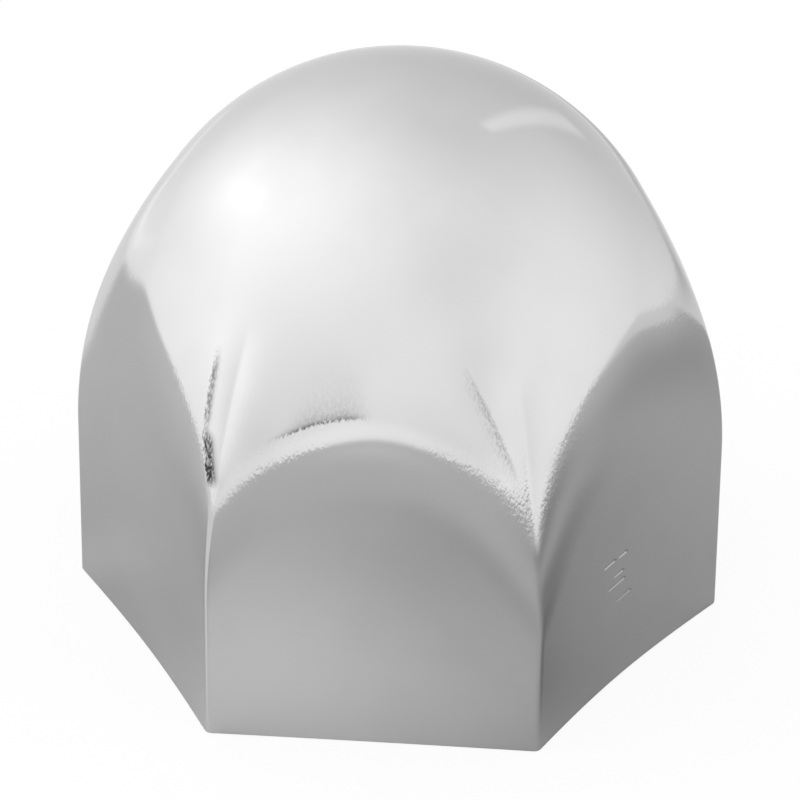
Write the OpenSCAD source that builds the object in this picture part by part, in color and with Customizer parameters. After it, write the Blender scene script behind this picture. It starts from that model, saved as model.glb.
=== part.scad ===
// Push-on cover for a hexagonal wheel nut.
// One sheet of steel is drawn into a hexagonal skirt that rounds off into a spherical crown.
// It is open underneath and stands on its rim, centred on the Z axis, with two flats square to Y.

/* [Skirt] */
// Distance across two opposite flats, outside
across_flats = 40; // [32:0.5:48]
// Radius of the six upright edges, outside
edge_radius = 0.6; // [0.4:0.1:4]
// How far the middle of each flat is drawn in at the rim, so that it grips the nut
flat_bow = 0.35; // [0:0.05:0.8]
// Thickness of the sheet
wall = 0.8; // [0.5:0.1:1.5]

/* [Crown] */
// Overall height
height = 41.5; // [38:0.1:60]
// How much less the crown's radius is than half the distance across the flats
crown_inset = 0.45; // [0.2:0.05:2]
// How far below the crown's centre the middle of each flat starts to lean in
flat_drop = 3; // [2.2:0.1:6]
// How far below the crown's centre each upright edge starts to lean in
edge_drop = 9.2; // [6:0.2:12]

/* [Smoothness] */
// Steps from the middle of a flat to the next upright edge
steps_around = 7; // [4:1:8]
// Rings from where the edges start to lean in to the top of the crown
steps_up = 14; // [8:1:16]

/* [Hidden] */

SIDES = 6;
HALF_SIDE = 180 / SIDES; // degrees from the middle of a flat to its edge
EDGE_CROWDING = 2.2; // draws the steps around together towards the upright edges
SKIRT_RINGS = 2; // rings from the rim to where the edges start to lean in

flat_r = across_flats / 2;
edge_r = (flat_r - edge_radius) / cos(HALF_SIDE) + edge_radius;
crown_r = flat_r - crown_inset;
crown_z = height - crown_r;
skirt_top = crown_z - edge_drop;
flat_top = crown_z - flat_drop;

// Half the outline of the shell at height z, on one side of the axis, seen from the side.
// It rises upright at radius r, leans in over an arc that starts "drop" below the centre of the
// crown, whose radius is "crown", and runs without a corner into the crown.
function outline(z, r, drop, crown) =
    let (
        arc_r = (r + crown) / 2 + drop * drop / (2 * (r - crown)),
        lean = atan2(drop, arc_r - r),
        arc_z = crown_z - drop,
        join_z = crown_z + crown * sin(lean)
    )
    z <= arc_z ? r
    : z < join_z ? r - arc_r + sqrt(pow(arc_r, 2) - pow(z - arc_z, 2))
    : sqrt(max(pow(crown, 2) - pow(z - crown_z, 2), 0));

// How far below the crown's centre the shell starts to lean in, "turn" degrees from the middle
// of a flat. This line is a parabola over each flat, down to the edges beside it.
function lean_drop(turn) =
    flat_drop + (edge_drop - flat_drop) * pow(tan(turn) / tan(HALF_SIDE), 2);

// Radius of a hexagon with round corners, at "turn" degrees from the middle of a side.
// "side" is the distance to its sides and "corner" the distance to its corners. The corners'
// own radius follows from the two: it is nothing on a sharp hexagon and "side" on a circle.
function round_hexagon(turn, side, corner) =
    let (
        sharp = 1 / cos(HALF_SIDE),
        corner_r = max((side * sharp - corner) / (sharp - 1), 0),
        arm = (side - corner_r) * sharp,
        side_end = atan2((side - corner_r) * tan(HALF_SIDE), side),
        off_corner = HALF_SIDE - turn
    )
    turn <= side_end ? side / cos(turn)
    : arm * cos(off_corner) + sqrt(max(pow(corner_r, 2) - pow(arm * sin(off_corner), 2), 0));

// How far a flat is drawn in, at height z and "turn" degrees from its middle
function bow(z, turn) =
    flat_bow * max(1 - z / flat_top, 0) * (1 - pow(tan(turn) / tan(HALF_SIDE), 2));

// Radius of the shell, "depth" under its outer skin
function shell_radius(z, turn, depth) =
    outline(z, round_hexagon(turn, flat_r - depth, edge_r - depth), lean_drop(turn), crown_r - depth)
    - bow(z, turn);

// Angles from the middle of a flat, once around, closest together at the upright edges
half_turns = [for (k = [0 : steps_around]) HALF_SIDE * (1 - pow(1 - k / steps_around, EDGE_CROWDING))];
stations = [
    for (side = [0 : SIDES - 1], k = [1 - steps_around : steps_around])
        [2 * HALF_SIDE * side - 90 + sign(k) * half_turns[abs(k)], half_turns[abs(k)]]
];

// Heights of the rings below the pole, closer together towards the top of the crown
function ring_heights(top) = concat(
    [for (k = [0 : SKIRT_RINGS - 1]) skirt_top * k / SKIRT_RINGS],
    [for (k = [0 : steps_up - 1]) skirt_top + (top - skirt_top) * (1 - pow(1 - k / steps_up, 2))]
);

// Points of one ring around the axis
function ring(z, depth) = [
    for (s = stations) let (r = shell_radius(z, s[1], depth)) [r * cos(s[0]), r * sin(s[0]), z]
];

// Closed skin of a stack of equal rings between two poles, the first pole's point first
module ring_stack(first_pole, rings, last_pole) {
    n = len(rings[0]);
    last = n * len(rings) + 1;
    points = concat([first_pole], [for (r = rings) each r], [last_pole]);
    faces = concat(
        [for (i = [0 : n - 1]) [0, 1 + i, 1 + (i + 1) % n]],
        [
            for (k = [0 : len(rings) - 2], i = [0 : n - 1])
                let (a = 1 + k * n + i, b = 1 + k * n + (i + 1) % n)
                [a, a + n, b + n, b]
        ],
        [for (i = [0 : n - 1]) [last, last - n + (i + 1) % n, last - n + i]]
    );
    polyhedron(points = points, faces = faces, convexity = 4);
}

// The whole cover: up the outside from the rim, with the inside one sheet's thickness under it
module cover_shell() {
    inner_heights = ring_heights(height - wall);
    outer_heights = ring_heights(height);
    count = len(outer_heights);
    color([0.80, 0.81, 0.82])
        ring_stack(
            [0, 0, height - wall],
            concat(
                [for (k = [count - 1 : -1 : 0]) ring(inner_heights[k], wall)],
                [for (z = outer_heights) ring(z, 0)]
            ),
            [0, 0, height]
        );
}

cover_shell();
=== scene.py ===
"""A chromed push-on cover for a hexagonal wheel nut, standing on a pale studio floor.

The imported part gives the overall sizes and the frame. This script replaces the plain solid
with a finely drawn shell, dresses it in chrome, and sets up the floor, the light and the camera.
"""

import logging
import math
from dataclasses import dataclass, field
from enum import Enum
from typing import Any, ClassVar

import bmesh
import bpy
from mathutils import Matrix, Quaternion, Vector


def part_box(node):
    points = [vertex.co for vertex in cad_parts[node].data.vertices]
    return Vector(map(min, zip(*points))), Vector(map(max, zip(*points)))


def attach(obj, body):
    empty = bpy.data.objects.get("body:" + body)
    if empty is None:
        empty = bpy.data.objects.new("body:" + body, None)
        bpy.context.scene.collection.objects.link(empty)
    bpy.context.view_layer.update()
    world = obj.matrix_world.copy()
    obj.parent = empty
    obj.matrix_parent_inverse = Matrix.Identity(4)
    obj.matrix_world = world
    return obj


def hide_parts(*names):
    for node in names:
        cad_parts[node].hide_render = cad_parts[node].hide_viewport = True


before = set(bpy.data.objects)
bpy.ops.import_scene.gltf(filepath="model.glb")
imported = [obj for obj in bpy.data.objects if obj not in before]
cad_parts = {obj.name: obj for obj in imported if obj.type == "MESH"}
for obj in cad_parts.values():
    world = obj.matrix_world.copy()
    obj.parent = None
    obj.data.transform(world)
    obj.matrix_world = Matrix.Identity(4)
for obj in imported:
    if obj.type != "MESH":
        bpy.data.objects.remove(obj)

LOG = logging.getLogger("nut_cover")
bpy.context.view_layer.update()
MM = 0.001
SIDES = 6
HALF_SIDE = math.radians(180 / SIDES)
OUT_OF_SIGHT = 1e-7


class Wire:
    """A shader value: one output socket, on which arithmetic adds Math nodes."""

    def __init__(self, graph: "Graph", socket: bpy.types.NodeSocket) -> None:
        """Wraps a socket of one of the graph's nodes.

        Args:
            graph: The graph that the socket's node is in.
            socket: The output socket.
        """
        self.graph = graph
        self.socket = socket

    def __add__(self, other: "Number") -> "Wire":
        """Returns self + other."""
        return self.graph.math("ADD", self, other)

    def __sub__(self, other: "Number") -> "Wire":
        """Returns self - other."""
        return self.graph.math("SUBTRACT", self, other)

    def __rsub__(self, other: "Number") -> "Wire":
        """Returns other - self."""
        return self.graph.math("SUBTRACT", other, self)

    def __mul__(self, other: "Number") -> "Wire":
        """Returns self * other."""
        return self.graph.math("MULTIPLY", self, other)

    def __truediv__(self, other: "Number") -> "Wire":
        """Returns self / other."""
        return self.graph.math("DIVIDE", self, other)

    def __rtruediv__(self, other: "Number") -> "Wire":
        """Returns other / self."""
        return self.graph.math("DIVIDE", other, self)

    def __pow__(self, other: "Number") -> "Wire":
        """Returns self to the power of other."""
        return self.graph.math("POWER", self, other)

    def __neg__(self) -> "Wire":
        """Returns the value with its sign changed."""
        return self.graph.math("MULTIPLY", self, -1.0)

    def __abs__(self) -> "Wire":
        """Returns the value without its sign."""
        return self.graph.math("ABSOLUTE", self)

    __radd__ = __add__
    __rmul__ = __mul__


Number = Wire | float
Colour = Wire | tuple[float, float, float]


class Graph:
    """The node tree of one material or of the world, built from values and nodes."""

    def __init__(self, owner: bpy.types.Material | bpy.types.World) -> None:
        """Empties the owner's node tree.

        Args:
            owner: The material or world whose tree is built.
        """
        owner.use_nodes = True
        self.tree = owner.node_tree
        self.tree.nodes.clear()

    def node(
        self,
        kind: str,
        settings: dict[str, Any] | None = None,
        inputs: dict[str | int, Any] | None = None,
    ) -> bpy.types.Node:
        """Adds a node.

        Args:
            kind: The node's type, such as "ShaderNodeMath".
            settings: Properties that are set before the sockets are used.
            inputs: Socket name or number to a value, or to the Wire that feeds it.

        Returns:
            The new node.
        """
        made = self.tree.nodes.new(kind)
        for name, value in (settings or {}).items():
            setattr(made, name, value)
        for key, value in (inputs or {}).items():
            if isinstance(value, Wire):
                self.tree.links.new(value.socket, made.inputs[key])
            else:
                made.inputs[key].default_value = value
        return made

    def wire(
        self,
        kind: str,
        settings: dict[str, Any] | None = None,
        inputs: dict[str | int, Any] | None = None,
        output: str | int = 0,
    ) -> Wire:
        """Adds a node and returns one of its outputs, with node's other arguments."""
        return Wire(self, self.node(kind, settings, inputs).outputs[output])

    def math(self, operation: str, *values: Number) -> Wire:
        """Adds a Math node on up to three values and returns its output."""
        return self.wire("ShaderNodeMath", {"operation": operation}, dict(enumerate(values)))

    def ramp(self, value: Number, start: float, end: float) -> Wire:
        """Returns a value that goes smoothly from 0 at start to 1 at end."""
        return self.wire(
            "ShaderNodeMapRange",
            {"interpolation_type": "SMOOTHSTEP"},
            {"Value": value, "From Min": start, "From Max": end},
        )

    def blend(self, factor: Number, low: "Colour", high: "Colour") -> Wire:
        """Returns the colour between low, at factor 0, and high, at factor 1."""
        ends = [end if isinstance(end, Wire) else (*end, 1.0) for end in (low, high)]
        return self.wire(
            "ShaderNodeMix", {"data_type": "RGBA"}, {0: factor, 6: ends[0], 7: ends[1]}, 2
        )

    def noise(self, place: Wire, size: float, detail: float = 2.0) -> Wire:
        """Returns noise from 0 to 1 whose grains are about size metres, at a place."""
        return self.wire(
            "ShaderNodeTexNoise", {}, {"Vector": place, "Scale": 1.0 / size, "Detail": detail}
        )

    def split(self, vector: Wire) -> list[Wire]:
        """Returns the three parts of a vector."""
        parts = self.node("ShaderNodeSeparateXYZ", inputs={0: vector})
        return [Wire(self, part) for part in parts.outputs]

    def from_camera(self) -> Wire:
        """Returns 1 where the camera looks straight at the surface, and 0 in a reflection."""
        return self.wire("ShaderNodeLightPath", output="Is Camera Ray")

    def stretched(self, place: Wire, factors: tuple[float, float, float]) -> Wire:
        """Returns the place with each of its axes multiplied by a factor."""
        return self.wire(
            "ShaderNodeVectorMath", {"operation": "MULTIPLY"}, {0: place, 1: factors}
        )


@dataclass(frozen=True)
class PaintedReflectionAndShade:
    """A ragged dark streak painted into the plate's colour at a shoulder: a painted dark reflection and
    painted shade.

    It follows a curve on the skin. On one side of the curve it starts sharply, and on the other
    it fades out. Lengths are in millimetres, along the skin and upwards.

    Attributes:
        azimuth: Direction of its middle from the axis, in degrees from +X towards +Y.
        height: Height of its middle.
        reach: Half its length.
        width: How far it keeps its full strength from its sharp side.
        fade: How far it takes to fade out from there on its soft side.
        strength: How much it darkens the plate's colour, from 0 to 1.
        upright: Whether it runs upwards rather than around.
        lean: How far it moves aside for each millimetre of its length.
        bend: How far it curves aside for each square millimetre.
        taper: How far its ends take to fade.
        flip: Whether its soft side is the other one: to the left, or below.
        sharp: How far its sharp side takes to start, on both sides of the curve.
    """

    azimuth: float
    height: float
    reach: float
    width: float
    fade: float
    strength: float
    upright: bool = True
    lean: float = 0.0
    bend: float = 0.0
    taper: float = 2.0
    flip: bool = False
    sharp: float = 0.15

    def wire(self, graph: Graph, around: Wire, up: Wire, ragged: Wire) -> Wire:
        """Works the mark out.

        Args:
            graph: The graph in which it is worked out.
            around: Distance round the skin from +X towards +Y.
            up: Height.
            ragged: Random distance that roughens its sides.

        Returns:
            How much it darkens the plate's colour.
        """
        aside = around - math.radians(self.azimuth) * ChromePlate.skin_radius
        along = up - self.height
        if not self.upright:
            aside, along = along, aside
        off = aside - along * self.lean - along * along * self.bend + ragged
        if self.flip:
            off = -off
        start = graph.ramp(off, -self.sharp, self.sharp)
        tail = graph.math("EXPONENT", -graph.math("MAXIMUM", off - self.width, 0.0) / self.fade)
        ends = graph.ramp(abs(along), self.reach, self.reach - self.taper)
        return start * tail * ends * self.strength


@dataclass(frozen=True)
class ChromePlate:
    """Bright chrome over drawn steel: grey mirror, faint orange peel, wrinkles at the shoulders, and
    dark reflections and shade painted into its colour there.

    Attributes:
        skin_radius: Distance from the axis, in millimetres, at which the painted streaks are measured.
        grey: Colour of the clear plate.
        haze: Colour of the plate where it is smeared.
        painted_dark_grey: Colour that the painted dark reflections and painted shade darken the plate
            to.
        roughness: Roughness of the clear plate.
        smear: What the smears add to the roughness.
        mark_roughness: What the painted streaks add to it.
        grain: Factors on X, Y and Z that draw the wrinkles and the ragged sides of the painted streaks
            out upwards.
        wave_grain: The same for the long waves of the sheet.
        smear_size: Size of the smears.
        peel_size: Size of the orange peel's bumps.
        peel_depth: Depth between them.
        wave_size: Size of the long waves.
        wave_depth: Depth between them.
        wrinkle_size: Size of the wrinkles.
        wrinkle_depth: Depth between them.
        wrinkle_foot: Height at which the wrinkles start.
        wrinkle_rise: Height that they take to grow.
        wrinkle_top: Height at which they end.
        wrinkle_fall: Height that they take to die out.
        wrinkle_reach: How far from an upright edge they end, in degrees round the axis.
        rag_size: Size of the ragged teeth along the painted streaks.
        rag: How far the ragged teeth reach, in millimetres.
        fleck_low: The least share of a painted streak's strength that its clear flecks keep.
        fleck_more: What its dark flecks have more.
        painted_reflections_and_shade: The dark reflections and shade painted into the plate's colour at
            the shoulders.
    """

    skin_radius: ClassVar[float] = 20.0
    name: str = "chrome_plate"
    grey: tuple[float, float, float] = (0.73, 0.73, 0.735)
    haze: tuple[float, float, float] = (0.70, 0.70, 0.70)
    painted_dark_grey: tuple[float, float, float] = (0.05, 0.05, 0.05)
    roughness: float = 0.085
    smear: float = 0.03
    mark_roughness: float = 0.10
    grain: tuple[float, float, float] = (1.0, 1.0, 0.45)
    wave_grain: tuple[float, float, float] = (1.0, 1.0, 0.5)
    smear_size: float = 9.0 * MM
    peel_size: float = 0.8 * MM
    peel_depth: float = 0.0006 * MM
    wave_size: float = 7.0 * MM
    wave_depth: float = 0.010 * MM
    wrinkle_size: float = 0.17 * MM
    wrinkle_depth: float = 0.0065 * MM
    wrinkle_foot: float = 15.5 * MM
    wrinkle_rise: float = 3.0 * MM
    wrinkle_top: float = 32.0 * MM
    wrinkle_fall: float = 8.0 * MM
    wrinkle_reach: float = 26.0
    rag_size: float = 0.16 * MM
    rag: float = 0.7
    fleck_low: float = 0.6
    fleck_more: float = 0.8
    # Painted dark reflections and painted shade: one beside the front-right ridge, three by the
    # front-left ridge, and a line with painted shade above it across the front flat.
    painted_reflections_and_shade: tuple[PaintedReflectionAndShade, ...] = (
        PaintedReflectionAndShade(-66.0, 24.9, 4.6, 0.1, 0.38, 0.34, lean=-0.38, bend=-0.013, taper=3.0, flip=True),
        PaintedReflectionAndShade(-125.7, 25.4, 3.2, 0.40, 0.12, 0.50, lean=-0.09, taper=2.0),
        PaintedReflectionAndShade(-123.7, 21.2, 2.0, 0.75, 0.20, 0.72, lean=-0.32, taper=1.0),
        PaintedReflectionAndShade(-122.6, 20.0, 0.9, 0.45, 0.10, 0.30, lean=-0.32, taper=0.5),
        PaintedReflectionAndShade(-101.0, 25.1, 3.9, 0.05, 0.18, 0.52, upright=False, lean=0.339, bend=-0.049),
        PaintedReflectionAndShade(
            -99.5, 25.3, 3.4, 0.2, 1.2, 0.28, upright=False, lean=0.32, bend=-0.049, taper=2.4
        ),
    )

    def make(self) -> bpy.types.Material:
        """Builds the material and returns it."""
        material = bpy.data.materials.new(self.name)
        graph = Graph(material)
        place = graph.wire("ShaderNodeTexCoord", output="Object")
        x, y, z = graph.split(place)
        azimuth = graph.math("ARCTAN2", y, x)
        half_side = math.degrees(HALF_SIDE)
        off_edge = abs(graph.math("WRAP", azimuth * math.degrees(1.0), half_side, -half_side))
        drawn = graph.ramp(off_edge, self.wrinkle_reach, self.wrinkle_reach / 2) * (
            graph.ramp(z, self.wrinkle_foot, self.wrinkle_foot + self.wrinkle_rise)
            * graph.ramp(z, self.wrinkle_top, self.wrinkle_top - self.wrinkle_fall)
        )
        along_grain = graph.stretched(place, self.grain)
        wrinkles = graph.noise(along_grain, self.wrinkle_size, 1.5)
        peel = graph.noise(place, self.peel_size)
        wave = graph.noise(graph.stretched(place, self.wave_grain), self.wave_size, 0.0)
        relief = (
            wrinkles * drawn * (self.wrinkle_depth / MM)
            + peel * (self.peel_depth / MM)
            + wave * (self.wave_depth / MM)
        )
        normal = graph.wire(
            "ShaderNodeBump", inputs={"Height": relief, "Strength": 1.0, "Distance": MM}
        )
        rag = graph.noise(along_grain, self.rag_size, 3.0)
        ragged = (rag - 0.5) * self.rag
        # Darkening painted into the base colour: painted dark reflections and painted shade.
        painted_darkening: Number = 0.0
        for mark in self.painted_reflections_and_shade:
            painted_darkening = mark.wire(graph, azimuth * self.skin_radius, z / MM, ragged) + painted_darkening
        painted_darkening = painted_darkening * (graph.ramp(rag, 0.35, 0.65) * self.fleck_more + self.fleck_low)
        smear = graph.ramp(graph.noise(place, self.smear_size, 3.0), 0.40, 0.70)
        clear = graph.blend(smear, self.grey, self.haze)
        shader = graph.wire(
            "ShaderNodeBsdfPrincipled",
            inputs={
                # The painted dark reflections and shade darken the plate's colour here.
                "Base Color": graph.blend(painted_darkening, clear, self.painted_dark_grey),
                "Metallic": 1.0,
                "Roughness": smear * self.smear + painted_darkening * self.mark_roughness + self.roughness,
                "Normal": normal,
            },
        )
        graph.node("ShaderNodeOutputMaterial", inputs={"Surface": shader})
        return material


@dataclass(frozen=True)
class DrawnSteel:
    """The inside of the cover: plate that didn't build up, dull, with upright drawing scores.

    Attributes:
        light: Colour of the clean steel.
        dark: Colour of the stains.
        roughness: Roughness of the clean steel.
        stain_roughness: What the stains add to it.
        score_grain: Factors on X, Y and Z that draw the scores out upwards.
        score_size: Distance between the scores.
        score_depth: Depth of the scores.
        stain_size: Size of the stains.
    """

    name: str = "drawn_steel_inside"
    light: tuple[float, float, float] = (0.50, 0.50, 0.49)
    dark: tuple[float, float, float] = (0.36, 0.36, 0.35)
    roughness: float = 0.32
    stain_roughness: float = 0.12
    score_grain: tuple[float, float, float] = (1.0, 1.0, 0.06)
    score_size: float = 0.25 * MM
    score_depth: float = 0.006 * MM
    stain_size: float = 5.0 * MM

    def make(self) -> bpy.types.Material:
        """Builds the material and returns it."""
        material = bpy.data.materials.new(self.name)
        graph = Graph(material)
        place = graph.wire("ShaderNodeTexCoord", output="Object")
        scores = graph.noise(graph.stretched(place, self.score_grain), self.score_size)
        stains = graph.ramp(graph.noise(place, self.stain_size, 4.0), 0.35, 0.65)
        normal = graph.wire(
            "ShaderNodeBump",
            inputs={"Height": scores, "Strength": 1.0, "Distance": self.score_depth},
        )
        shader = graph.wire(
            "ShaderNodeBsdfPrincipled",
            inputs={
                "Base Color": graph.blend(stains, self.light, self.dark),
                "Metallic": 1.0,
                "Roughness": stains * self.stain_roughness + self.roughness,
                "Normal": normal,
            },
        )
        graph.node("ShaderNodeOutputMaterial", inputs={"Surface": shader})
        return material


class Flat(Enum):
    """The six flats of the skirt, numbered round the axis from the front one."""

    FRONT = 0
    FRONT_RIGHT = 1
    BACK_RIGHT = 2
    BACK = 3
    BACK_LEFT = 4
    FRONT_LEFT = 5

    @property
    def azimuth(self) -> float:
        """Direction of the flat's middle, in radians from +X towards +Y."""
        return math.radians(self.value * 360 / SIDES - 90)

    @classmethod
    def at(cls, azimuth: float) -> "Flat":
        """Returns the flat that a direction, in radians from +X towards +Y, lies on."""
        return cls(round((math.degrees(azimuth) + 90) * SIDES / 360) % SIDES)


class Edge(Enum):
    """The six upright edges of the skirt, numbered round the axis from the right one."""

    RIGHT = 0
    BACK_RIGHT = 1
    BACK_LEFT = 2
    LEFT = 3
    FRONT_LEFT = 4
    FRONT_RIGHT = 5

    @classmethod
    def nearest(cls, azimuth: float) -> "Edge":
        """Returns the edge nearest to a direction, in radians from +X towards +Y."""
        return cls(round(math.degrees(azimuth) * SIDES / 360) % SIDES)


@dataclass(frozen=True)
class Tick:
    """One short groove of the press mark: its middle, slant and half length on the flat.

    Attributes:
        across: Middle of the groove, to the right of the flat's middle, in metres.
        up: Height of the groove's middle above the rim, in metres.
        slant: Angle above the horizontal, in degrees.
        half_length: Half the groove's length, in metres.
    """

    across: float
    up: float
    slant: float = 1.0
    half_length: float = 0.5 * MM

    def distance(self, across: float, up: float) -> float:
        """Returns how far a point of the flat is from the groove's centreline, in metres."""
        point = Vector((across - self.across, up - self.up))
        along = Vector((math.cos(math.radians(self.slant)), math.sin(math.radians(self.slant))))
        reach = max(-self.half_length, min(self.half_length, point.dot(along)))
        return (point - along * reach).length


@dataclass
class CoverShell:
    """The drawn sheet: a hexagonal skirt that rounds off into a spherical crown.

    Lengths are in metres. Heights are above the rim, which stands on the floor.

    Attributes:
        high: The solid's highest corner.
        edge_radius: Radius of the upright edges.
        wall: Thickness of the sheet.
        crown_inset: How much less the crown's radius is than the flats' distance from the axis.
        flat_drop: How far below the crown's centre the middle of each flat starts to lean in.
        bend_radius: Radius of the soft bend with which the lean starts.
        bend_angle: Angle of that bend at the upright edges, in degrees. It is nothing mid-flat.
        rim_rounding: Rounding of the rim's cut edge.
        edge_drops: How far below the crown's centre each upright edge starts to lean in.
        bows: How far the middle of each flat is drawn in at the rim.
        marked_flat: The flat with the press mark.
        ticks: The grooves of the press mark.
        tick_width: Half the width of a groove.
        tick_depth: Depth of a groove.
        mark_margin: Distance from the grooves within which the mesh is made finer.
        mark_blend: Distance from them within which its new vertices are put onto the shell.
        mark_cuts: How many times each edge is cut there.
        steps_around: Steps of the skins round the axis.
        edge_crowding: Draws these steps together towards the upright edges.
        skirt_rings: Rings of the outer skin below the shoulders.
        crown_rings: Rings of the outer skin above.
        inner_crown_rings: Rings of the inner skin above.
    """

    high: Vector
    name: str = "cover_skin"
    edge_radius: float = 0.6 * MM
    wall: float = 0.8 * MM
    crown_inset: float = 0.45 * MM
    flat_drop: float = 3.0 * MM
    bend_radius: float = 33.0 * MM
    bend_angle: float = 15.0
    rim_rounding: float = 0.15 * MM
    edge_drops: dict[Edge, float] = field(
        default_factory=lambda: {
            Edge.RIGHT: 9.2 * MM,
            Edge.BACK_RIGHT: 9.2 * MM,
            Edge.BACK_LEFT: 9.2 * MM,
            Edge.LEFT: 9.2 * MM,
            Edge.FRONT_LEFT: 12.0 * MM,
            Edge.FRONT_RIGHT: 14.5 * MM,
        }
    )
    bows: dict[Flat, float] = field(
        default_factory=lambda: {
            Flat.FRONT: 0.05 * MM,
            Flat.FRONT_RIGHT: 0.60 * MM,
            Flat.BACK_RIGHT: 0.35 * MM,
            Flat.BACK: 0.35 * MM,
            Flat.BACK_LEFT: 0.35 * MM,
            Flat.FRONT_LEFT: 0.40 * MM,
        }
    )
    marked_flat: Flat = Flat.FRONT_RIGHT
    ticks: tuple[Tick, ...] = (
        Tick(-2.7 * MM, 10.7 * MM, half_length=0.6 * MM),
        Tick(-1.0 * MM, 10.7 * MM, half_length=0.4 * MM),
        Tick(-1.4 * MM, 9.3 * MM, half_length=0.5 * MM),
        Tick(-1.6 * MM, 8.5 * MM, half_length=0.95 * MM),
        Tick(-0.5 * MM, 7.0 * MM, half_length=0.75 * MM),
    )
    tick_width: float = 0.25 * MM
    tick_depth: float = 0.075 * MM
    mark_margin: float = 1.0 * MM
    mark_blend: float = 2.5 * MM
    mark_cuts: int = 15
    steps_around: int = 432
    edge_crowding: float = 2.0
    skirt_rings: int = 16
    crown_rings: int = 80
    inner_crown_rings: int = 28

    def __post_init__(self) -> None:
        """Works out the sizes that follow from the solid's box."""
        self.edge_reach = self.high.x
        self.flat_reach = (self.edge_reach - self.edge_radius) * math.cos(HALF_SIDE) + self.edge_radius
        self.crown_radius = self.flat_reach - self.crown_inset
        self.crown_centre = self.high.z - self.crown_radius
        self.skirt_top = self.crown_centre - max(self.edge_drops.values())
        self.flat_top = self.crown_centre - self.flat_drop

    def outline(self, height: float, reach: float, drop: float, bend: float, crown: float) -> float:
        """Works out half the shell's outline, as seen from the side.

        It rises upright, bends over, and leans on evenly until it runs into the crown.

        Args:
            height: Height at which the outline is wanted.
            reach: Distance from the axis at which the outline rises upright.
            drop: How far below the crown's centre it starts to bend.
            bend: Angle through which it bends, in radians.
            crown: Radius of the crown.

        Returns:
            The distance from the axis.
        """
        up = height - self.crown_centre
        if up <= -drop:
            return reach
        knee_reach = reach - self.bend_radius * (1 - math.cos(bend))
        knee_up = self.bend_radius * math.sin(bend) - drop
        if up <= knee_up:
            return reach - self.bend_radius + math.sqrt(self.bend_radius**2 - (up + drop) ** 2)
        outward = knee_reach * math.cos(bend) + knee_up * math.sin(bend)
        arc = (knee_reach**2 + knee_up**2 - crown**2) / (2 * (outward - crown))
        arc_reach = knee_reach - arc * math.cos(bend)
        arc_up = knee_up - arc * math.sin(bend)
        if up < crown * math.sin(math.atan2(-arc_up, -arc_reach)):
            return arc_reach + math.sqrt(arc**2 - (up - arc_up) ** 2)
        return math.sqrt(max(crown**2 - up**2, 0))

    def round_hexagon(self, turn: float, side: float, corner: float) -> float:
        """Works out a hexagon with round corners.

        Args:
            turn: Angle from the middle of a side, in radians.
            side: Distance from the axis to the sides.
            corner: Distance from the axis to the corners.

        Returns:
            The distance from the axis at that angle.
        """
        sharp = 1 / math.cos(HALF_SIDE)
        corner_radius = max((side * sharp - corner) / (sharp - 1), 0)
        arm = (side - corner_radius) * sharp
        if turn <= math.atan2((side - corner_radius) * math.tan(HALF_SIDE), side):
            return side / math.cos(turn)
        off_corner = HALF_SIDE - turn
        return arm * math.cos(off_corner) + math.sqrt(
            max(corner_radius**2 - (arm * math.sin(off_corner)) ** 2, 0)
        )

    def radius(self, azimuth: float, height: float, depth: float) -> float:
        """Works out the shell's distance from the axis.

        Args:
            azimuth: Direction from the axis, in radians from +X towards +Y.
            height: Height above the rim.
            depth: Distance under the outer skin.

        Returns:
            The distance from the axis.
        """
        flat = Flat.at(azimuth)
        turn = abs(self.off_middle(azimuth, flat))
        across = math.tan(turn) / math.tan(HALF_SIDE)
        share = self.round_off(across) ** 2
        drop = self.flat_drop + (self.edge_drops[Edge.nearest(azimuth)] - self.flat_drop) * share
        bend = math.radians(self.bend_angle) * share
        reach = self.round_hexagon(turn, self.flat_reach - depth, self.edge_reach - depth)
        bow = self.bows[flat] * max(1 - height / self.flat_top, 0) * (1 - across**2)
        return self.outline(height, reach, drop, bend, self.crown_radius - depth) - bow

    def round_off(self, across: float) -> float:
        """Levels a share of the way to an edge off, so that nothing creases at the edge."""
        margin = self.edge_radius / self.flat_reach
        if across < 1 - margin:
            return across
        return 1 - margin / 2 - (1 - across) ** 2 / (2 * margin)

    @staticmethod
    def off_middle(azimuth: float, flat: Flat) -> float:
        """Returns the angle from a flat's middle to a direction, in radians."""
        return math.remainder(azimuth - flat.azimuth, math.tau)

    def crowd(self, azimuth: float) -> float:
        """Returns the direction that an evenly spaced one moves to, nearer the upright edges."""
        flat = Flat.at(azimuth)
        offset = self.off_middle(azimuth, flat)
        share = 1 - (1 - min(abs(offset) / HALF_SIDE, 1)) ** self.edge_crowding
        return flat.azimuth + math.copysign(HALF_SIDE * share, offset)

    def settle(self, vertex: bmesh.types.BMVert, azimuth: float, depth: float) -> None:
        """Puts a vertex onto the shell, in a given direction and at its own height.

        Args:
            vertex: The vertex to move.
            azimuth: Direction from the axis, in radians.
            depth: Distance under the outer skin.
        """
        reach = self.radius(azimuth, vertex.co.z, depth)
        vertex.co.x = reach * math.cos(azimuth)
        vertex.co.y = reach * math.sin(azimuth)

    def heights(self, depth: float, skirt_rings: int, crown_rings: int) -> list[float]:
        """Lists the heights of the rings of one skin, from the rim to the top.

        Args:
            depth: Distance under the outer skin.
            skirt_rings: Number of rings below the shoulders.
            crown_rings: Number of rings above, evenly spaced as seen from the crown's centre.

        Returns:
            The heights, the last of which is the top of the skin.
        """
        reach = self.crown_radius - depth
        first = math.asin((self.skirt_top - self.crown_centre) / reach)
        angles = [first + (math.pi / 2 - first) * k / crown_rings for k in range(crown_rings + 1)]
        skirt = [self.skirt_top * k / skirt_rings for k in range(skirt_rings)]
        return skirt + [self.crown_centre + reach * math.sin(angle) for angle in angles]

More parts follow.
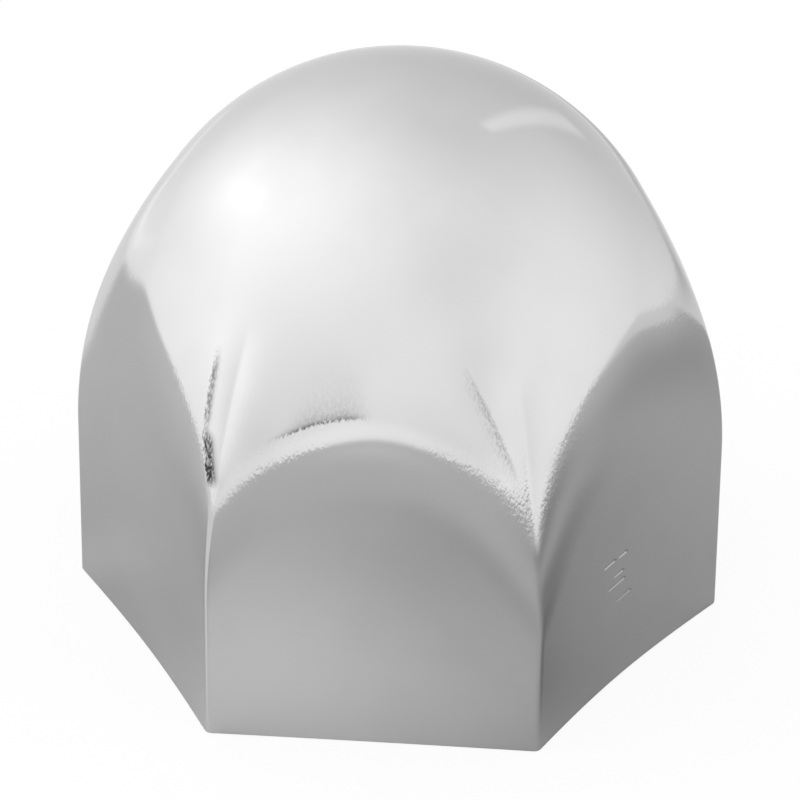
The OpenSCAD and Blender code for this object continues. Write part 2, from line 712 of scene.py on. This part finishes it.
    def spin_skin(
        self, mesh: bmesh.types.BMesh, depth: float, heights: list[float]
    ) -> list[bmesh.types.BMFace]:
        """Spins one skin round the axis and draws it into shape.

        Args:
            mesh: The mesh that it is added to.
            depth: Distance under the outer skin.
            heights: Heights of its rings, up to the top.

        Returns:
            The new faces, pointing away from the axis.
        """
        before = set(mesh.faces)
        chain = [mesh.verts.new((self.radius(0.0, z, depth), 0, z)) for z in heights]
        chain[-1].co.x = 0
        edges = [mesh.edges.new(pair) for pair in zip(chain, chain[1:])]
        bmesh.ops.spin(
            mesh,
            geom=chain + edges,
            cent=(0, 0, 0),
            axis=(0, 0, 1),
            angle=math.tau,
            steps=self.steps_around,
            use_merge=True,
        )
        bmesh.ops.remove_doubles(mesh, verts=mesh.verts[:], dist=OUT_OF_SIGHT)
        faces = [face for face in mesh.faces if face not in before]
        for vertex in {vertex for face in faces for vertex in face.verts}:
            if vertex.co.xy.length > OUT_OF_SIGHT:
                self.settle(vertex, self.crowd(math.atan2(vertex.co.y, vertex.co.x)), depth)
        bmesh.ops.recalc_face_normals(mesh, faces=faces)
        return faces

    def on_flat(self, point: Vector) -> tuple[float, float]:
        """Returns how far right of the marked flat's middle, and how high, a point is."""
        azimuth = self.marked_flat.azimuth
        return point.dot(Vector((-math.sin(azimuth), math.cos(azimuth), 0))), point.z

    def press_mark(self, mesh: bmesh.types.BMesh) -> None:
        """Presses the plain mark of level ticks into its flat.

        Args:
            mesh: The mesh, whose faces are still only the outer skin's.
        """
        near = []
        for face in mesh.faces:
            point = face.calc_center_median()
            if Flat.at(math.atan2(point.y, point.x)) is not self.marked_flat:
                continue
            across, up = self.on_flat(point)
            if any(tick.distance(across, up) < self.mark_margin for tick in self.ticks):
                near.append(face)
        edges = list({edge for face in near for edge in face.edges})
        bmesh.ops.subdivide_edges(mesh, edges=edges, cuts=self.mark_cuts, use_grid_fill=True)
        outward = Vector((math.cos(self.marked_flat.azimuth), math.sin(self.marked_flat.azimuth), 0))
        for vertex in [vertex for vertex in mesh.verts if self.is_near_mark(vertex.co)]:
            self.settle(vertex, math.atan2(vertex.co.y, vertex.co.x), 0.0)
            across, up = self.on_flat(vertex.co)
            distance = min(tick.distance(across, up) for tick in self.ticks) / self.tick_width
            if distance < 1:
                vertex.co -= outward * self.tick_depth * (0.5 + 0.5 * math.cos(math.pi * distance))

    def is_near_mark(self, point: Vector) -> bool:
        """Returns whether a point is on the marked flat and close to one of the ticks."""
        if Flat.at(math.atan2(point.y, point.x)) is not self.marked_flat:
            return False
        across, up = self.on_flat(point)
        return any(tick.distance(across, up) < self.mark_blend for tick in self.ticks)

    def make_mesh(self) -> bpy.types.Mesh:
        """Builds the closed shell and returns its mesh."""
        mesh = bmesh.new()
        rings = self.heights(0.0, self.skirt_rings, self.crown_rings)
        self.spin_skin(mesh, 0.0, rings)
        self.press_mark(mesh)
        rings = self.heights(self.wall, self.skirt_rings // 2, self.inner_crown_rings)
        inside = self.spin_skin(mesh, self.wall, rings)
        bmesh.ops.reverse_faces(mesh, faces=inside)
        for face in inside:
            face.material_index = 1
        rim = [edge for edge in mesh.edges if edge.is_boundary]
        bmesh.ops.bridge_loops(mesh, edges=rim)
        bmesh.ops.bevel(
            mesh,
            geom=rim,
            offset=self.rim_rounding,
            offset_type="OFFSET",
            segments=3,
            profile=0.5,
            affect="EDGES",
            clamp_overlap=False,
            loop_slide=True,
            material=-1,
        )
        for face in mesh.faces:
            face.smooth = True
        made = bpy.data.meshes.new(self.name)
        mesh.to_mesh(made)
        mesh.free()
        return made

    def build(self, outside: bpy.types.Material, inside: bpy.types.Material) -> bpy.types.Object:
        """Builds the cover and puts it in the solid's place.

        Args:
            outside: Finish of the outer skin and the rim.
            inside: Finish of the inner skin.

        Returns:
            The finished piece.
        """
        piece = bpy.data.objects.new(self.name, self.make_mesh())
        bpy.context.scene.collection.objects.link(piece)
        piece.data.materials.append(outside)
        piece.data.materials.append(inside)
        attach(piece, "root")
        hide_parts("cover_shell")
        return piece


@dataclass(frozen=True)
class Shade:
    """A soft round patch of the floor's grey that is lighter or darker than the rest; on the bare floor
    these are painted light and painted shadow.

    Attributes:
        x: Place of its middle along the frame's X axis, in metres.
        y: Place of its middle along the frame's Y axis, in metres.
        radius: Distance from its middle at which it has faded to about a third, in metres.
        gain: What it adds to the floor's grey in its middle.
    """

    x: float
    y: float
    radius: float
    gain: float

    def wire(self, graph: Graph, place: Wire) -> Wire:
        """Returns the patch's share of the grey, for a place on the floor."""
        middle = (self.x, self.y, 0)
        distance = graph.wire(
            "ShaderNodeVectorMath", {"operation": "DISTANCE"}, {0: place, 1: middle}, "Value"
        )
        return graph.math("EXPONENT", -((distance / self.radius) ** 2.0)) * self.gain


@dataclass(frozen=True)
class LighterWedge:
    """A lighter wedge of the floor's grey, between two sides that run out from one corner; only the
    cover's reflections show it.

    Attributes:
        corner: Where its corner is, in metres.
        sides: Directions of the two sides from the corner, in degrees from +X towards +Y. The
        wedge lies between the first and the second, anticlockwise.
        grey: How light the wedge is.
        shades: Darker patches within it.
        soft: Over what distance its sides fade out, in metres.
    """

    corner: tuple[float, float]
    sides: tuple[float, float]
    grey: float
    shades: tuple[Shade, ...] = ()
    soft: float = 1.2 * MM

    def cover(self, graph: Graph, place: Wire, x: Wire, y: Wire, under: Number) -> Wire:
        """Lays the wedge over the floor's grey.

        Args:
            graph: The graph in which it is worked out.
            place: A place on the floor.
            x: The place's X.
            y: The place's Y.
            under: The floor's grey where the wedge lies.

        Returns:
            The grey with the wedge on it.
        """
        in_wedge: Number = 1.0
        for side, inward in zip(self.sides, (90.0, -90.0)):
            turn = math.radians(side + inward)
            inside = (x - self.corner[0]) * math.cos(turn) + (y - self.corner[1]) * math.sin(turn)
            in_wedge = graph.ramp(inside, -self.soft, self.soft) * in_wedge
        grey: Number = self.grey
        for shade in self.shades:
            grey = shade.wire(graph, place) + grey
        return in_wedge * (grey - under) + under


@dataclass(frozen=True)
class StudioFloor:
    """A round pale table top under the cover, seen as plain white from the camera. In the cover's
    reflections its grey carries painted shadow and painted light.

    Attributes:
        radius: Its radius.
        centre: X and Y of its middle.
        corners: Corners of its outline.
        grey: How light it is in the cover's reflections.
        shades: Painted light and painted shadow, as lighter and darker patches of its grey.
        lighter_wedges: Lighter wedges of its grey.
        shadow_share: How much of its real light, and so of the shadow, the camera sees.
    """

    name: str = "studio_floor"
    radius: float = 152.5 * MM
    centre: tuple[float, float] = (32.0 * MM, 1.6 * MM)
    corners: int = 160
    grey: float = 0.522
    # Painted shadow of the cover, mostly to its right and in front, and painted light to its left and
    # at its foot, seen only in its reflections.
    shades: tuple[Shade, ...] = (
        Shade(76.0 * MM, 27.0 * MM, 37.0 * MM, -0.16),
        Shade(39.0 * MM, -18.0 * MM, 18.0 * MM, -0.24),
        Shade(92.0 * MM, -58.0 * MM, 37.0 * MM, -0.23),
        Shade(-10.0 * MM, -29.0 * MM, 15.0 * MM, 0.18),
        Shade(-109.0 * MM, -6.0 * MM, 63.0 * MM, 0.10),
        Shade(-8.0 * MM, -116.0 * MM, 19.0 * MM, 0.10),
        Shade(20.0 * MM, -19.0 * MM, 7.0 * MM, -0.20),
        Shade(29.0 * MM, -15.0 * MM, 6.0 * MM, -0.10),
        Shade(44.0 * MM, -43.0 * MM, 17.0 * MM, -0.11),
        Shade(101.0 * MM, -85.0 * MM, 20.0 * MM, -0.07),
        Shade(0.0 * MM, -20.0 * MM, 9.0 * MM, 0.05),
        Shade(-24.0 * MM, 1.0 * MM, 4.0 * MM, 0.06),
        Shade(-43.0 * MM, -30.0 * MM, 26.0 * MM, -0.15),
        Shade(8.0 * MM, -45.0 * MM, 15.0 * MM, -0.12),
    )
    lighter_wedges: tuple[LighterWedge, ...] = (
        LighterWedge(
            (-40.5 * MM, 19.2 * MM),
            (18.3, 136.5),
            0.80,
            (
                Shade(30.0 * MM, 105.0 * MM, 28.0 * MM, -0.28),
                Shade(95.0 * MM, 112.0 * MM, 38.0 * MM, -0.28),
            ),
        ),
        LighterWedge((119.0 * MM, 64.0 * MM), (-50.0, 60.0), 0.72),
        LighterWedge((-11.5 * MM, -20.0 * MM), (188.0, 224.0), 0.76),
    )
    shadow_share: float = 0.13

    def make_material(self) -> bpy.types.Material:
        """Builds the floor's finish, which keeps a faint shadow for the camera."""
        material = bpy.data.materials.new(self.name)
        graph = Graph(material)
        place = graph.wire("ShaderNodeTexCoord", output="Object")
        x, y, _ = graph.split(place)
        grey: Number = self.grey
        # The shades paint light and shadow into the floor's grey, which only the cover's reflections
        # show.
        for shade in self.shades:
            grey = shade.wire(graph, place) + grey
        # Lighter wedges laid over the floor's grey.
        for sheet in self.lighter_wedges:
            grey = sheet.cover(graph, place, x, y, grey)
        from_camera = graph.from_camera()
        grey = from_camera * (1.0 - grey) + grey
        colour = graph.wire("ShaderNodeCombineColor", inputs={0: grey, 1: grey, 2: grey})
        paper = graph.wire("ShaderNodeBsdfDiffuse", inputs={"Color": colour})
        glow = graph.wire("ShaderNodeEmission", inputs={"Color": (1, 1, 1, 1), "Strength": 1.0})
        surface = graph.wire(
            "ShaderNodeMixShader",
            inputs={0: from_camera * (1.0 - self.shadow_share), 1: paper, 2: glow},
        )
        graph.node("ShaderNodeOutputMaterial", inputs={"Surface": surface})
        return material

    def build(self) -> bpy.types.Object:
        """Builds the floor and returns it."""
        mesh = bmesh.new()
        bmesh.ops.create_circle(mesh, cap_ends=True, segments=self.corners, radius=self.radius)
        bmesh.ops.translate(mesh, verts=mesh.verts[:], vec=(*self.centre, 0.0))
        made = bpy.data.meshes.new(self.name)
        mesh.to_mesh(made)
        mesh.free()
        piece = bpy.data.objects.new(self.name, made)
        bpy.context.scene.collection.objects.link(piece)
        made.materials.append(self.make_material())
        return piece


@dataclass(frozen=True)
class Glow:
    """A soft round patch of the studio walls that is lighter or darker than the rest.

    Attributes:
        azimuth: Direction in degrees, 0 behind the cover and 90 to its right.
        elevation: Height of its middle above the horizon, in degrees.
        width: Angle from its middle at which it has faded to about a third.
        gain: What it adds to the walls' brightness in its middle.
    """

    azimuth: float
    elevation: float
    width: float
    gain: float

    def wire(self, graph: Graph, direction: Wire) -> Wire:
        """Returns the patch's share of the brightness, for a direction in the room."""
        around, up = math.radians(self.azimuth), math.radians(self.elevation)
        middle = (math.sin(around) * math.cos(up), math.cos(around) * math.cos(up), math.sin(up))
        cosine = graph.wire(
            "ShaderNodeVectorMath", {"operation": "DOT_PRODUCT"}, {0: direction, 1: middle}, "Value"
        )
        sharpness = 2 / math.radians(self.width) ** 2
        return graph.math("EXPONENT", (cosine - 1.0) * sharpness) * self.gain


@dataclass(frozen=True)
class Strip:
    """A soft-edged panel or gap in the studio walls, straight up and along.

    Attributes:
        azimuth: Direction of its middle in degrees, 0 behind the cover and 90 to its right.
        elevation: Height of its middle above the horizon, in degrees.
        width: Half its width, in degrees.
        height: Half its height, in degrees.
        gain: What it adds to the walls' brightness in its middle.
        soft: How far its edges take to fade, in degrees.
        lean: How many degrees it leans aside for each degree that it rises.
    """

    azimuth: float
    elevation: float
    width: float
    height: float
    gain: float
    soft: float = 3.0
    lean: float = 0.0

    def wire(self, graph: Graph, around: Wire, up: Wire) -> Wire:
        """Returns the panel's share of the brightness, for two angles in degrees."""
        middle = (up - self.elevation) * self.lean + self.azimuth
        aside = abs(graph.math("WRAP", around - middle, 180.0, -180.0))
        above = abs(up - self.elevation)
        reach = graph.ramp(aside, self.width + self.soft, self.width - self.soft)
        return reach * graph.ramp(above, self.height + self.soft, self.height - self.soft) * self.gain


@dataclass(frozen=True)
class StudioWalls:
    """Soft white walls all round, with a brighter corner and a few darker gaps.

    Attributes:
        brightness: How bright the walls are between the patches.
        glows: Brighter and darker round patches.
        strips: Straight panels.
    """

    brightness: float = 1.082
    glows: tuple[Glow, ...] = (
        Glow(-49.0, 14.0, 14.0, 0.11),
        Glow(-101.0, 38.0, 37.0, 0.55),
        Glow(12.0, 2.0, 49.0, -0.42),
        Glow(33.0, 62.0, 30.0, -0.17),
        Glow(145.0, 45.0, 25.0, -0.145),
        Glow(163.0, -14.0, 18.0, -0.225),
        Glow(-142.0, -9.0, 27.0, -0.23),
        Glow(-64.0, 28.0, 12.0, 0.18),
        Glow(-165.0, 31.0, 16.0, -0.045),
        Glow(144.0, 11.0, 14.0, -0.11),
        Glow(-110.0, 36.0, 32.0, -0.35),
        Glow(-112.0, 3.0, 12.0, 0.11),
        Glow(-77.0, 37.0, 6.0, 0.09),
    )
    strips: tuple[Strip, ...] = (
        Strip(25.0, 24.0, 3.0, 21.5, 0.17, 2.0, lean=0.2),
        Strip(180.0, -8.5, 48.0, 2.5, 0.10, 1.5),
        Strip(-34.0, -10.5, 14.0, 1.0, 0.17, 1.0),
        Strip(85.0, -10.5, 20.0, 1.2, 0.12, 1.0),
    )

    def build(self) -> None:
        """Makes the world: these walls for the light and the mirror, white for the camera."""
        world = bpy.data.worlds.new("studio")
        bpy.context.scene.world = world
        graph = Graph(world)
        direction = graph.wire("ShaderNodeTexCoord", output="Generated")
        x, y, z = graph.split(direction)
        around = graph.math("ARCTAN2", x, y) * math.degrees(1.0)
        up = graph.math("ARCSINE", z) * math.degrees(1.0)
        level: Number = self.brightness
        for glow in self.glows:
            level = glow.wire(graph, direction) + level
        for strip in self.strips:
            level = strip.wire(graph, around, up) + level
        walls = graph.wire("ShaderNodeBackground", inputs={"Color": level, "Strength": 1.0})
        white = graph.wire("ShaderNodeBackground", inputs={"Color": (1, 1, 1, 1), "Strength": 1.0})
        seen = graph.wire("ShaderNodeMixShader", inputs={0: graph.from_camera(), 1: walls, 2: white})
        graph.node("ShaderNodeOutputWorld", inputs={"Surface": seen})


@dataclass(frozen=True)
class StudioCamera:
    """A long lens a little above the cover, aimed at its axis.

    Attributes:
        azimuth: Angle round the axis, in degrees, 0 looking along +Y.
        elevation: Angle above the horizon, in degrees.
        distance: Distance from the axis, in metres.
        aim: Height of the aim point, as a share of the cover's height.
        aside: How far the camera stands to the right of its aim, in metres.
        roll: How far it is turned anticlockwise about its own axis, in degrees.
        lens: Focal length, in millimetres.
    """

    azimuth: float = 4.613
    elevation: float = 31.13
    distance: float = 0.36284
    aim: float = 0.3784
    aside: float = 0.073 * MM
    roll: float = 0.61
    lens: float = 230.2

    def build(self, height: float) -> bpy.types.Object:
        """Puts the camera in place.

        Args:
            height: The cover's height.

        Returns:
            The camera.
        """
        around, up = math.radians(self.azimuth), math.radians(self.elevation)
        back = Vector((math.sin(around) * math.cos(up), -math.cos(around) * math.cos(up), math.sin(up)))
        right = Vector((math.cos(around), math.sin(around), 0))
        data = bpy.data.cameras.new("studio_camera")
        data.lens = self.lens
        data.sensor_width = 36.0
        data.clip_start = 0.01
        camera = bpy.data.objects.new("studio_camera", data)
        camera.location = Vector((0, 0, self.aim * height)) + back * self.distance + right * self.aside
        turned = back.to_track_quat("Z", "Y") @ Quaternion((0, 0, 1), math.radians(self.roll))
        camera.rotation_euler = turned.to_euler()
        bpy.context.scene.collection.objects.link(camera)
        bpy.context.scene.camera = camera
        return camera


def main() -> None:
    """Builds the cover, the floor, the light and the camera, and reports each."""
    logging.basicConfig(level=logging.INFO, format="%(name)s: %(message)s")
    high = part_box("cover_shell")[1]
    camera = StudioCamera().build(high.z)
    LOG.info("%s: lens %.1f mm", camera.name, camera.data.lens)
    cover = CoverShell(high).build(ChromePlate().make(), DrawnSteel().make())
    mesh = cover.data
    LOG.info("%s: %d vertices, %d faces", cover.name, len(mesh.vertices), len(mesh.polygons))
    floor = StudioFloor().build()
    LOG.info("%s: radius %.0f mm", floor.name, floor.dimensions.x / 2 / MM)
    walls = StudioWalls()
    walls.build()
    LOG.info("studio walls: %d round patches, %d panels", len(walls.glows), len(walls.strips))
    bpy.context.scene.view_settings.view_transform = "Standard"


if __name__ == "__main__":
    main()
